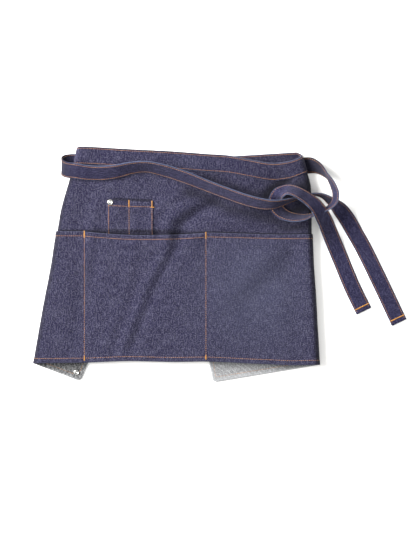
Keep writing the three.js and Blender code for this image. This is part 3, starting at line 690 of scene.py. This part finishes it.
# The ties: two straps of denim folded in four and sewn along both edges, each carrying on from an
# end of the waistband. They lie behind, come round to the front and are half-knotted at the right.
# Each row: x and y as shares of the width and height, what it lies on, lift, bearing, tip, width.
RIGHT_TIE_ROUTE = (
    (-0.098, 0.898, "floor", 0.02, 88, 0, 1),
    (-0.122, 0.904, "floor", 0.00, 88, 0, 1),
    (-0.154, 0.911, "floor", 0.00, 90, 0, 1),
    (-0.189, 0.916, "floor", 0.00, 92, 0, 1),
    (-0.244, 0.925, "floor", 0.00, 93, 0, 1),
    (-0.285, 0.930, "floor", 0.00, 92, 0, 1),
    (-0.300, 0.930, "floor", 0.00, 91, 2, 1),
    (-0.312, 0.924, "floor", 0.10, 90, 6, 1),
    (-0.317, 0.912, "floor", 0.30, 88, 10, 1),
    (-0.315, 0.900, "floor", 0.52, 86, 14, 1),
    (-0.306, 0.891, "floor", 0.68, 86, 19, 1),
    (-0.286, 0.885, "front", 0.04, 86, 24, 1),
    (-0.260, 0.877, "front", 0.01, 88, 27, 1),
    (-0.224, 0.876, "front", 0.01, 92, 31, 1),
    (-0.194, 0.884, "front", 0.01, 98, 38, 1),
    (-0.163, 0.899, "front", 0.01, 98, 46, 1),
    (-0.130, 0.904, "front", 0.01, 86, 50, 1),
    (-0.095, 0.889, "front", 0.01, 72, 46, 1),
    (-0.053, 0.862, "front", 0.01, 68, 44, 1),
    (-0.006, 0.824, "front", 0.02, 67, 48, 1),
    (0.044, 0.784, "front", 0.10, 68, 50, 1),
    (0.093, 0.748, "front", 0.26, 72, 50, 1),
    (0.124, 0.733, "front", 0.38, 80, 50, 0.97),
    (0.146, 0.730, "front", 0.42, 92, 54, 0.9),
    (0.165, 0.737, "front", 0.34, 100, 62, 0.76),
    (0.190, 0.753, "front", 0.14, 103, 74, 0.58),
    (0.212, 0.767, "front", 0.03, 100, 80, 0.5),
    (0.235, 0.779, "floor", 0.62, 85, 80, 0.5),
    (0.256, 0.774, "floor", 0.32, 66, 73, 0.66),
    (0.273, 0.754, "floor", 0.10, 58, 62, 0.86),
    (0.288, 0.729, "floor", 0.01, 50, 44, 1),
    (0.301, 0.699, "floor", 0.00, 42, 22, 1),
    (0.315, 0.658, "floor", 0.00, 35, 6, 1),
    (0.329, 0.606, "floor", 0.00, 30, 0, 1),
    (0.348, 0.535, "floor", 0.00, 28, 0, 1),
    (0.385, 0.378, "floor", 0.00, 27, 0, 1),
    (0.428, 0.187, "floor", 0.00, 28, 0, 1),
)
LEFT_TIE_ROUTE = (
    (-0.063, 0.778, "floor", 0.00, 74, 0, 1),
    (-0.035, 0.768, "floor", 0.00, 82, 0, 1),
    (0.005, 0.771, "floor", 0.00, 98, 0, 1),
    (0.064, 0.801, "floor", 0.00, 106, 0, 1),
    (0.124, 0.843, "floor", 0.00, 108, 0, 1),
    (0.174, 0.883, "floor", 0.00, 107, 0, 1),
    (0.205, 0.907, "floor", 0.00, 104, 0, 1),
    (0.222, 0.914, "floor", 0.00, 94, 0, 1),
    (0.237, 0.913, "floor", 0.03, 78, 32, 1),
    (0.252, 0.896, "floor", 0.16, 60, 58, 0.95),
    (0.267, 0.862, "floor", 0.40, 42, 82, 0.88),
    (0.279, 0.819, "floor", 0.68, 24, 70, 0.8),
    (0.285, 0.778, "floor", 0.90, 4, 63, 0.74),
    (0.282, 0.743, "floor", 0.96, -24, 62, 0.7),
    (0.269, 0.716, "floor", 0.86, -52, 68, 0.62),
    (0.251, 0.698, "floor", 0.74, -70, 76, 0.55),
    (0.234, 0.684, "floor", 0.71, -78, 74, 0.64),
    (0.215, 0.672, "front", 0.02, -84, 63, 0.85),
    (0.195, 0.671, "front", 0.02, -94, 55, 0.95),
    (0.176, 0.681, "front", 0.02, -108, 46, 0.95),
    (0.162, 0.700, "front", 0.02, -130, 30, 0.9),
    (0.154, 0.726, "front", 0.02, -160, 14, 0.86),
    (0.154, 0.753, "front", 0.02, -188, 0, 0.84),
    (0.158, 0.774, "front", 0.06, -218, -24, 0.85),
    (0.167, 0.789, "front", 0.16, -243, -46, 0.88),
    (0.179, 0.798, "front", 0.32, -264, -52, 0.92),
    (0.191, 0.794, "front", 0.44, -284, -46, 0.95),
    (0.205, 0.780, "front", 0.53, -300, -41, 0.97),
    (0.224, 0.755, "floor", 1.26, -311, -37, 0.98),
    (0.239, 0.728, "floor", 1.30, -319, -30, 1),
    (0.250, 0.697, "floor", 1.26, -326, -22, 1),
    (0.261, 0.659, "floor", 0.90, -331, -16, 1),
    (0.272, 0.609, "floor", 0.44, -335, -9, 1),
    (0.284, 0.552, "floor", 0.11, -336, -2, 1),
    (0.298, 0.483, "floor", 0.00, -336, 0, 1),
    (0.324, 0.352, "floor", 0.00, -334, 0, 1),
    (0.350, 0.240, "floor", 0.00, -331, 0, 1),
)
TIE_STEP = 2.0
ROUTE_STEPS = 16
TIE_RING = 40
TIE_EDGE_STITCH = 2.4
TIE_CLEARANCE = 0.1
# Its edge colour is for the straps' rubbed edges, partly a painted highlight.
TIE_DENIM = denim(
    "tie_denim", deep=(0.0028, 0.0022, 0.015), worn=(0.0112, 0.0095, 0.037),
    pale=(0.046, 0.045, 0.082), edge=(0.1, 0.124, 0.195),
)


def front_top(x, y, creased=False):
    """The height of the front's upper face under a plan point, in plan millimetres."""
    v = np.clip(2 * y - front_y(x, y), 0, HEIGHT)
    half = np.where(v > BAND_FOOT, BAND_THICKNESS / 2, CLOTH / 2)
    return front_z(x, v, creased) + half


def tie_rows(sign, route):
    """A route in plan millimetres: middle points, width directions, half widths, on the front."""
    onto = lambda u, v: place(sign * u, v) / MM - PLAN_SHIFT
    middle_v = HEIGHT - BAND_WIDTH / 2
    end = onto(HALF, middle_v)
    heading = end - onto(HALF - TIE_WIDTH, middle_v)
    heading /= np.linalg.norm(heading)
    across = onto(HALF, HEIGHT) - onto(HALF, BAND_FOOT)
    across /= np.linalg.norm(across)
    starts = (end, end + heading * TIE_WIDTH * 0.12)
    rows = [(start, across, TIE_WIDTH / 2, False) for start in starts]
    for x, y, on, lift, bearing, tip, width in route:
        x, y = x * WIDTH, y * HEIGHT
        bearing, tip = math.radians(bearing), math.radians(tip)
        half = width * TIE_WIDTH / 2
        level = math.cos(tip)
        across = np.array((math.cos(bearing) * level, math.sin(bearing) * level, math.sin(tip)))
        base = TIE_THICKNESS / 2
        if on == "front":
            spots = [front_top(x + s * across[0], y + s * across[1]) for s in (-half, 0, half)]
            base += max(spots) + SEAT_GAP
        z = base + half * abs(math.sin(tip)) + lift * TIE_WIDTH
        rows.append((np.array((x, y, z)), across, half, on == "front"))
    return rows


def along_rows(rows):
    """Points of a smooth curve through the rows, and the rows' other values between them."""
    points = np.array([row[0] for row in rows])
    padded = np.vstack((2 * points[0] - points[1], points, 2 * points[-1] - points[-2]))
    places, sides, halves, fronts = [], [], [], []
    for i in range(len(rows) - 1):
        p0, p1, p2, p3 = padded[i:i + 4]
        gaps = ((p0, p1), (p1, p2), (p2, p3))
        d0, d1, d2 = (max(np.linalg.norm(b - a) ** 0.5, 1e-4) for a, b in gaps)
        t1 = ((p1 - p0) / d0 - (p2 - p0) / (d0 + d1) + (p2 - p1) / d1) * d1
        t2 = ((p2 - p1) / d1 - (p3 - p1) / (d1 + d2) + (p3 - p2) / d2) * d1
        for s in np.linspace(0, 1, ROUTE_STEPS, endpoint=i == len(rows) - 2):
            places.append((2 * s**3 - 3 * s**2 + 1) * p1 + (s**3 - 2 * s**2 + s) * t1
                          + (3 * s**2 - 2 * s**3) * p2 + (s**3 - s**2) * t2)
            sides.append(mix(rows[i][1], rows[i + 1][1], s))
            halves.append(mix(rows[i][2], rows[i + 1][2], s))
            fronts.append(rows[i][3] and rows[i + 1][3])
    return np.array(places), np.array(sides), np.array(halves), np.array(fronts, float)


def tie_frames(sign, route):
    """Evenly spaced frames along a tie: run, middle, across, up, half width, on the front."""
    places, sides, halves, fronts = along_rows(tie_rows(sign, route))
    run = np.concatenate(([0], np.cumsum(np.linalg.norm(np.diff(places, axis=0), axis=1))))
    even = np.linspace(0, run[-1], int(run[-1] / TIE_STEP) + 1)
    pick = lambda table: np.stack([np.interp(even, run, table[:, k]) for k in range(3)], -1)
    middle, across = pick(places), pick(sides)
    ahead = np.gradient(middle, axis=0)
    ahead /= np.linalg.norm(ahead, axis=1)[:, None]
    across[1:] -= np.sum(across * ahead, axis=1)[1:, None] * ahead[1:]
    across /= np.linalg.norm(across, axis=1)[:, None]
    up = np.cross(across, ahead)
    if up[0, 2] < 0:
        up = -up
    for i in range(1, len(up)):
        if up[i] @ up[i - 1] < 0:
            up[i] *= -1
    half = np.interp(even, run, halves)
    on_front = np.interp(even, run, fronts) > 0.99
    for i in range(len(middle)):
        if on_front[i]:
            ends = [
                middle[i] + s * across[i] * half[i] + t * up[i] * TIE_THICKNESS / 2
                for t in (-1, 1) for s in (-1, 1)
            ]
            under = [max(front_top(x, y), front_top(x, y, True)) for x, y, _ in ends]
            short = [top + TIE_CLEARANCE - end[2] for top, end in zip(under, ends)]
            middle[i, 2] += max(0.0, *short)
    return even, middle, across, up, half


def tie_surface(frames, run, aside, face, proud=0.0):
    """A point on a tie: run along it, aside from -1 to 1 across it, on its face +1 or -1."""
    even, middle, across, up, half = frames
    pick = lambda table: np.stack([np.interp(run, even, table[:, k]) for k in range(3)], -1)
    wide = np.interp(run, even, half)
    reach = aside * wide
    edge = TIE_WIDTH / 2 * (1 - np.abs(aside))
    plump = np.sqrt(np.clip(1 - np.clip(1 - edge / 1.1, 0, 1) ** 2, 0, 1))
    plump = plump * (1 - 0.18 * np.exp(-((edge - TIE_EDGE_STITCH) / 0.8) ** 2))
    thick = TIE_THICKNESS / 2 * plump + proud
    return (pick(middle) + pick(across) * reach[..., None]
            + pick(up) * (face * thick)[..., None] + PLAN_SHIFT) * MM


def make_tie(name, frames, seed, painted_shade):
    """A strap along its frames. Each spot of painted shade: x, y and reach in plan millimetres, how
    dark.
    """
    length = frames[0][-1]
    bm = bmesh.new()
    bmesh.ops.create_grid(bm, x_segments=len(frames[0]) - 1, y_segments=TIE_RING, size=0.5)
    share = np.array([vert.co for vert in bm.verts]) + 0.5
    run, loop = share[:, 0] * length, share[:, 1] * 4
    aside = np.where(loop < 2, loop - 1, 3 - loop)
    aside = np.sin(aside * math.pi / 2) * 0.25 + aside * 0.75
    face = np.where(loop < 2, 1.0, -1.0)
    points = tie_surface(frames, run, aside, face, 0.07 * rumple(run, aside * 12, 5, seed))
    set_points(bm, points)
    flat = np.stack((run, aside * TIE_WIDTH / 2 + (face < 0) * 40), -1)[:, ::-1]
    # Lighter edges, rubbed and partly a painted highlight; painted shade round the given spots.
    edge = smooth(np.abs(aside), 0.92, 1.0)
    at = np.stack([np.interp(run, frames[0], frames[1][:, k]) for k in range(2)], -1)
    dark = np.maximum.reduce([
        how * np.exp(-np.sum((at - (x, y)) ** 2, axis=1) / reach**2) for x, y, reach, how in painted_shade
    ])
    piece = finish_mesh(bm, name, flat, {"worn": edge * (1 - dark) - dark})
    bm = bmesh.new()
    bm.from_mesh(piece.data)
    bmesh.ops.remove_doubles(bm, verts=bm.verts, dist=2e-5)
    bmesh.ops.holes_fill(bm, edges=[e for e in bm.edges if e.is_boundary], sides=0)
    bmesh.ops.recalc_face_normals(bm, faces=bm.faces)
    bm.to_mesh(piece.data)
    bm.free()
    piece.data.materials.append(TIE_DENIM)
    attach(piece, "root")
    return piece


right_frames = tie_frames(1, RIGHT_TIE_ROUTE)
left_frames = tie_frames(-1, LEFT_TIE_ROUTE)
# Spots of painted shade on the ties, where a strap turns away or runs under the knot: x, y, reach, how
# dark.
RIGHT_TIE_SHADES = ((143, 247, 10, 0.6), (-218, 300, 14, 0.7))
LEFT_TIE_SHADES = ((164, 296, 20, 0.75), (112, 232, 14, 0.4))
right_tie = make_tie("right_tie_strap", right_frames, 31, RIGHT_TIE_SHADES)
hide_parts("right_tie")
left_tie = make_tie("left_tie_strap", left_frames, 32, LEFT_TIE_SHADES)
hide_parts("left_tie")

# Topstitching: heavy orange-brown thread, three millimetres a stitch, one small rounded bar of
# thread for each stitch, pulled a little into the cloth.
THREAD_PITCH = 3.0
THREAD_LENGTH = 2.2
THREAD_RADIUS = 0.36
THREAD_SEAT = 0.12
COPY_SPACE = 4.0
thread = bpy.data.materials.new("topstitch_thread")
thread.use_nodes = True
strand = thread.node_tree.nodes["Principled BSDF"]
strand.inputs["Roughness"].default_value = 0.6
strand.inputs["Sheen Weight"].default_value = 0.3
where = thread.node_tree.nodes.new("ShaderNodeTexCoord")
shade = thread.node_tree.nodes.new("ShaderNodeTexNoise")
shade.inputs["Scale"].default_value = 180.0
tint = thread.node_tree.nodes.new("ShaderNodeValToRGB")
tint.color_ramp.elements[0].position = 0.3
tint.color_ramp.elements[0].color = (0.18, 0.066, 0.014, 1)
tint.color_ramp.elements[1].position = 0.7
tint.color_ramp.elements[1].color = (0.38, 0.165, 0.04, 1)
thread.node_tree.links.new(where.outputs["Object"], shade.inputs["Vector"])
thread.node_tree.links.new(shade.outputs["Fac"], tint.inputs["Fac"])
thread.node_tree.links.new(tint.outputs["Color"], strand.inputs["Base Color"])


def stitch_bars(starts, ends, normals, radius):
    """Where each bar of thread lies: its middle, its half axes aside, up and ahead, in metres."""
    ahead = (ends - starts) / 2
    aside = np.cross(normals, ahead)
    aside /= np.linalg.norm(aside, axis=1)[:, None]
    up = np.cross(ahead, aside)
    up /= np.linalg.norm(up, axis=1)[:, None]
    return np.stack(((starts + ends) / 2, aside * radius, up * radius * 0.8, ahead), 1)


def sew(surface, points):
    """Stitches along a line of flat points, on the surface that turns u, v and depth to a place."""
    points = np.array(points, float)
    run = np.concatenate(([0], np.cumsum(np.linalg.norm(np.diff(points, axis=0), axis=1))))
    count = max(1, int(round(run[-1] / THREAD_PITCH)))
    reach = 0.5 * THREAD_LENGTH / THREAD_PITCH
    starts, ends = ((np.arange(count) + 0.5 + s * reach) * run[-1] / count for s in (-1, 1))
    flat = lambda t: (np.interp(t, run, points[:, 0]), np.interp(t, run, points[:, 1]))
    first, last = surface(*flat(starts), 0.0), surface(*flat(ends), 0.0)
    return stitch_bars(first, last, first - surface(*flat(starts), -1.0), THREAD_RADIUS * MM)


def stitched(name, bars, paint):
    """One piece of many bars of thread: a first one is shaped, doubled until there are enough, and
    each copy is then laid in its place."""
    bars = np.concatenate(bars)
    bm = bmesh.new()
    bmesh.ops.create_uvsphere(bm, u_segments=6, v_segments=4, radius=1.0)
    shape = np.array([vert.co for vert in bm.verts])
    corner = bm.verts.layers.int.new("corner")
    for number, vert in enumerate(bm.verts):
        vert[corner] = number
    made = 1
    while made < len(bars):
        copies = bmesh.ops.duplicate(bm, geom=[*bm.verts, *bm.edges, *bm.faces])["geom"]
        moved = [part for part in copies if isinstance(part, bmesh.types.BMVert)]
        bmesh.ops.translate(bm, verts=moved, vec=(made * COPY_SPACE, 0, 0))
        made *= 2
    spare = [vert for vert in bm.verts if round(vert.co.x / COPY_SPACE) >= len(bars)]
    bmesh.ops.delete(bm, geom=spare, context="VERTS")
    copy = np.array([round(vert.co.x / COPY_SPACE) for vert in bm.verts])
    local = shape[[vert[corner] for vert in bm.verts]]
    set_points(bm, bars[copy, 0] + np.einsum("vk,vkc->vc", local, bars[copy, 1:]))
    piece = finish_mesh(bm, name)
    piece.data.materials.append(paint)
    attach(piece, "root")


ON_CLOTH = WALL / 2 + THREAD_SEAT
on_pocket = lambda u, v, d: place_pocket(u, v, ON_CLOTH + d)
on_panel = lambda u, v, d: place(u, v, ON_CLOTH + d)
behind_panel = lambda u, v, d: place(u, v, -ON_CLOTH - d)
on_pen = lambda u, v, d: place(u, v, pen_depth(u, v) + ON_CLOTH + d)
on_band = lambda u, v, d: place_band(u, v, band_half(u, v) + WALL / 2 + d)
behind_band = lambda u, v, d: place_band(u, v, -band_half(u, v) - WALL / 2 - d)
SIDE_HEM = 6.2
EDGE = HALF - SIDE_HEM
both_ends = lambda reach, row: ((-reach, row), (reach, row))
round_hem = lambda top: ((-EDGE, top), (-EDGE, HEM_TURN), (EDGE, HEM_TURN), (EDGE, top))
stitched("waistband_stitches", [
    sew(surface, both_ends(HALF - 1, row))
    for row in (BAND_STITCH_FOOT, BAND_STITCH_TOP) for surface in (on_band, behind_band)
], thread)
mouth_row = POCKET_DEPTH - MOUTH_HEM
stitched("pocket_stitches", [
    sew(on_pocket, both_ends(HALF - 1, mouth_row)),
    sew(on_pocket, round_hem(mouth_row)),
    *(sew(on_pocket, ((x, HEM_TURN), (x, POCKET_DEPTH - 2))) for x in DIVIDERS),
], thread)
stitched("panel_stitches", [
    sew(behind_panel, round_hem(BAND_FOOT)),
    *(sew(behind_panel, ((x, HEM_TURN), (x, POCKET_DEPTH))) for x in DIVIDERS),
    *(sew(on_panel, ((x, POCKET_DEPTH + 1), (x, BAND_FOOT))) for x in (-EDGE, EDGE)),
], thread)
PEN_SEAM = 2.0
pen_row = PEN_TOP - PEN_HEM
pen_seams = (PEN_LEFT + PEN_SEAM, PEN_SLOT, PEN_RIGHT - PEN_SEAM)
stitched("pen_pocket_stitches", [
    *(sew(on_pen, ((x, PEN_FOOT), (x, PEN_TOP - 1))) for x in pen_seams),
    sew(on_pen, ((PEN_LEFT + 1, pen_row), (PEN_RIGHT - 1, pen_row))),
], thread)
TIE_HALF = TIE_WIDTH / 2
TIE_ROW = TIE_HALF - TIE_EDGE_STITCH
ON_TIE = 0.14


def on_tie(frames, face):
    """A tie's own face, read by the run along it and the distance aside of its middle."""
    share = lambda aside: np.asarray(aside) / TIE_HALF
    return lambda run, aside, d: tie_surface(frames, np.asarray(run), share(aside), face, ON_TIE + d)


for name, frames in (("right_tie_stitches", right_frames), ("left_tie_stitches", left_frames)):
    stitched(name, [
        sew(on_tie(frames, face), ((1, row), (frames[0][-1] - 3, row)))
        for face in (1.0, -1.0) for row in (-TIE_ROW, TIE_ROW)
    ], thread)

# Bar tacks: short bars of bright orange satin stitch that hold each pocket's corners, the foot of
# each stitch row and the ends of both ties.
tack_thread = thread.copy()
tack_thread.name = "tack_thread"
tack_ramp = next(n for n in tack_thread.node_tree.nodes if n.type == "VALTORGB").color_ramp
tack_ramp.elements[0].color = (0.25, 0.1, 0.003, 1)
tack_ramp.elements[1].color = (0.4, 0.165, 0.004, 1)
TACK_WIDTH = 1.8
TACK_PITCH = 0.62
TACK_RADIUS = 0.4
TACK_SLANT = 0.12
TACK_PROUD = 0.12
MOUTH_TACK = 10.5
TIE_TACK_IN = 7.5


def bar_tack(surface, start, end):
    """Cross stitches side by side along a short line of the flat cloth."""
    start, end = np.array(start, float), np.array(end, float)
    run = np.linalg.norm(end - start)
    ahead = (end - start) / run
    aside = np.array((-ahead[1], ahead[0])) * TACK_WIDTH / 2 + ahead * TACK_SLANT
    middles = start + ahead * np.arange(0, run, TACK_PITCH)[:, None]
    low, high = middles - aside, middles + aside
    first, last = (surface(end[:, 0], end[:, 1], TACK_PROUD) for end in (low, high))
    inside = surface(low[:, 0], low[:, 1], -1.0)
    return stitch_bars(first, last, first - inside, TACK_RADIUS * MM)


stitched("pocket_tacks", [
    *(bar_tack(on_pocket, (x, POCKET_DEPTH + 0.5), (x, POCKET_DEPTH - MOUTH_TACK)) for x in DIVIDERS),
    *(bar_tack(on_pocket, (x, HEM_TURN - 3.5), (x, HEM_TURN + 3.5)) for x in DIVIDERS),
    *(bar_tack(on_pocket, (x, POCKET_DEPTH), (x, POCKET_DEPTH - 10)) for x in (-EDGE, EDGE)),
    *(bar_tack(on_pen, (x, PEN_TOP), (x, pen_row)) for x in pen_seams[1:]),
    bar_tack(on_pen, (PEN_RIGHT - 4, pen_row - 0.5), (PEN_RIGHT + 1, pen_row - 0.5)),
], tack_thread)
across_end = lambda frames: [(frames[0][-1] - TIE_TACK_IN, y) for y in (0.6 - TIE_HALF, TIE_HALF - 0.6)]
stitched("tie_tacks", [
    bar_tack(on_tie(frames, face), *across_end(frames))
    for frames in (right_frames, left_frames) for face in (1.0, -1.0)
], tack_thread)

# Rivets: pressed nickel-coloured heads with a domed rim and a punched ring, one on the pen pocket's
# corner and one on the wrong side of the left back corner. Each is clinched through the cloth.
RIVET_PROFILE = (
    (0.0, 1.05), (0.9, 1.0), (1.3, 0.55), (1.9, 0.6), (2.4, 1.25), (3.0, 1.5),
    (3.7, 1.3), (4.15, 0.8), (4.6, 0.5), (4.75, 0.3), (4.75, 0.02), (0.0, 0.02),
)
RIVET_INSET = 4.6
CORNER_RIVET_INSET = 10.5
TARNISHED_RING = (1.2, 2.1)
SHADED_FOOT = 0.7


def rivet_metal(name, colour, rough):
    """A pressed metal, scuffed unevenly from rough to a little duller."""
    metal = bpy.data.materials.new(name)
    metal.use_nodes = True
    nickel = metal.node_tree.nodes["Principled BSDF"]
    nickel.inputs["Metallic"].default_value = 1.0
    nickel.inputs["Base Color"].default_value = colour
    scuff = metal.node_tree.nodes.new("ShaderNodeTexNoise")
    scuff.inputs["Scale"].default_value = 900.0
    spread = metal.node_tree.nodes.new("ShaderNodeMapRange")
    spread.inputs["To Min"].default_value = rough
    spread.inputs["To Max"].default_value = rough + 0.2
    where = metal.node_tree.nodes.new("ShaderNodeTexCoord")
    metal.node_tree.links.new(where.outputs["Object"], scuff.inputs["Vector"])
    metal.node_tree.links.new(scuff.outputs["Fac"], spread.inputs["Value"])
    metal.node_tree.links.new(spread.outputs[0], nickel.inputs["Roughness"])
    return metal


NICKEL = rivet_metal("rivet_nickel", (0.36, 0.36, 0.35, 1), 0.24)
# Dark tarnished metal for the punched ring, and painted shade at each head's foot.
TARNISH_AND_SHADE = rivet_metal("rivet_tarnish", (0.05, 0.048, 0.045, 1), 0.5)


def rivet_head(name, surface, u, v, node):
    """A turned head, seated on a surface at flat point u, v, in place of the part's plain one."""
    bm = bmesh.new()
    rim = [bm.verts.new((r, 0, z)) for r, z in RIVET_PROFILE]
    for a, b in zip(rim, rim[1:]):
        bm.edges.new((a, b))
    bmesh.ops.spin(
        bm, geom=[*bm.verts, *bm.edges], cent=(0, 0, 0), axis=(0, 0, 1),
        angle=2 * math.pi, steps=40, use_merge=True,
    )
    bmesh.ops.remove_doubles(bm, verts=bm.verts, dist=1e-3)
    bmesh.ops.recalc_face_normals(bm, faces=bm.faces)
    # The punched ring takes the tarnished metal; so does the foot of the head, as painted shade round
    # its edge.
    for face in bm.faces:
        middle = face.calc_center_median()
        in_ring = TARNISHED_RING[0] < math.hypot(middle.x, middle.y) < TARNISHED_RING[1]
        face.material_index = int(in_ring or middle.z < SHADED_FOOT)
    at = lambda du, dv: surface(np.array([u + du]), np.array([v + dv]), 0.0)[0]
    along, up = at(4, 0) - at(-4, 0), at(0, 4) - at(0, -4)
    normal = surface(np.array([u]), np.array([v]), 1.0)[0] - at(0, 0)
    along, normal = along / np.linalg.norm(along), normal / np.linalg.norm(normal)
    up = np.cross(normal, along)
    local = np.array([vert.co for vert in bm.verts]) * MM
    set_points(bm, at(0, 0) + local @ np.stack((along, up, normal)))
    head = finish_mesh(bm, name)
    head.data.materials.append(NICKEL)
    head.data.materials.append(TARNISH_AND_SHADE)
    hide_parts(node)
    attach(head, "root")


pen_corner = (PEN_LEFT + RIVET_INSET, PEN_TOP - RIVET_INSET)
rivet_head("pen_rivet_head", on_pen, *pen_corner, "pen_pocket_rivet")
back_corner = (-HALF + CORNER_RIVET_INSET, CORNER_RIVET_INSET)
rivet_head("corner_rivet_back", behind_panel, *back_corner, "corner_rivet")
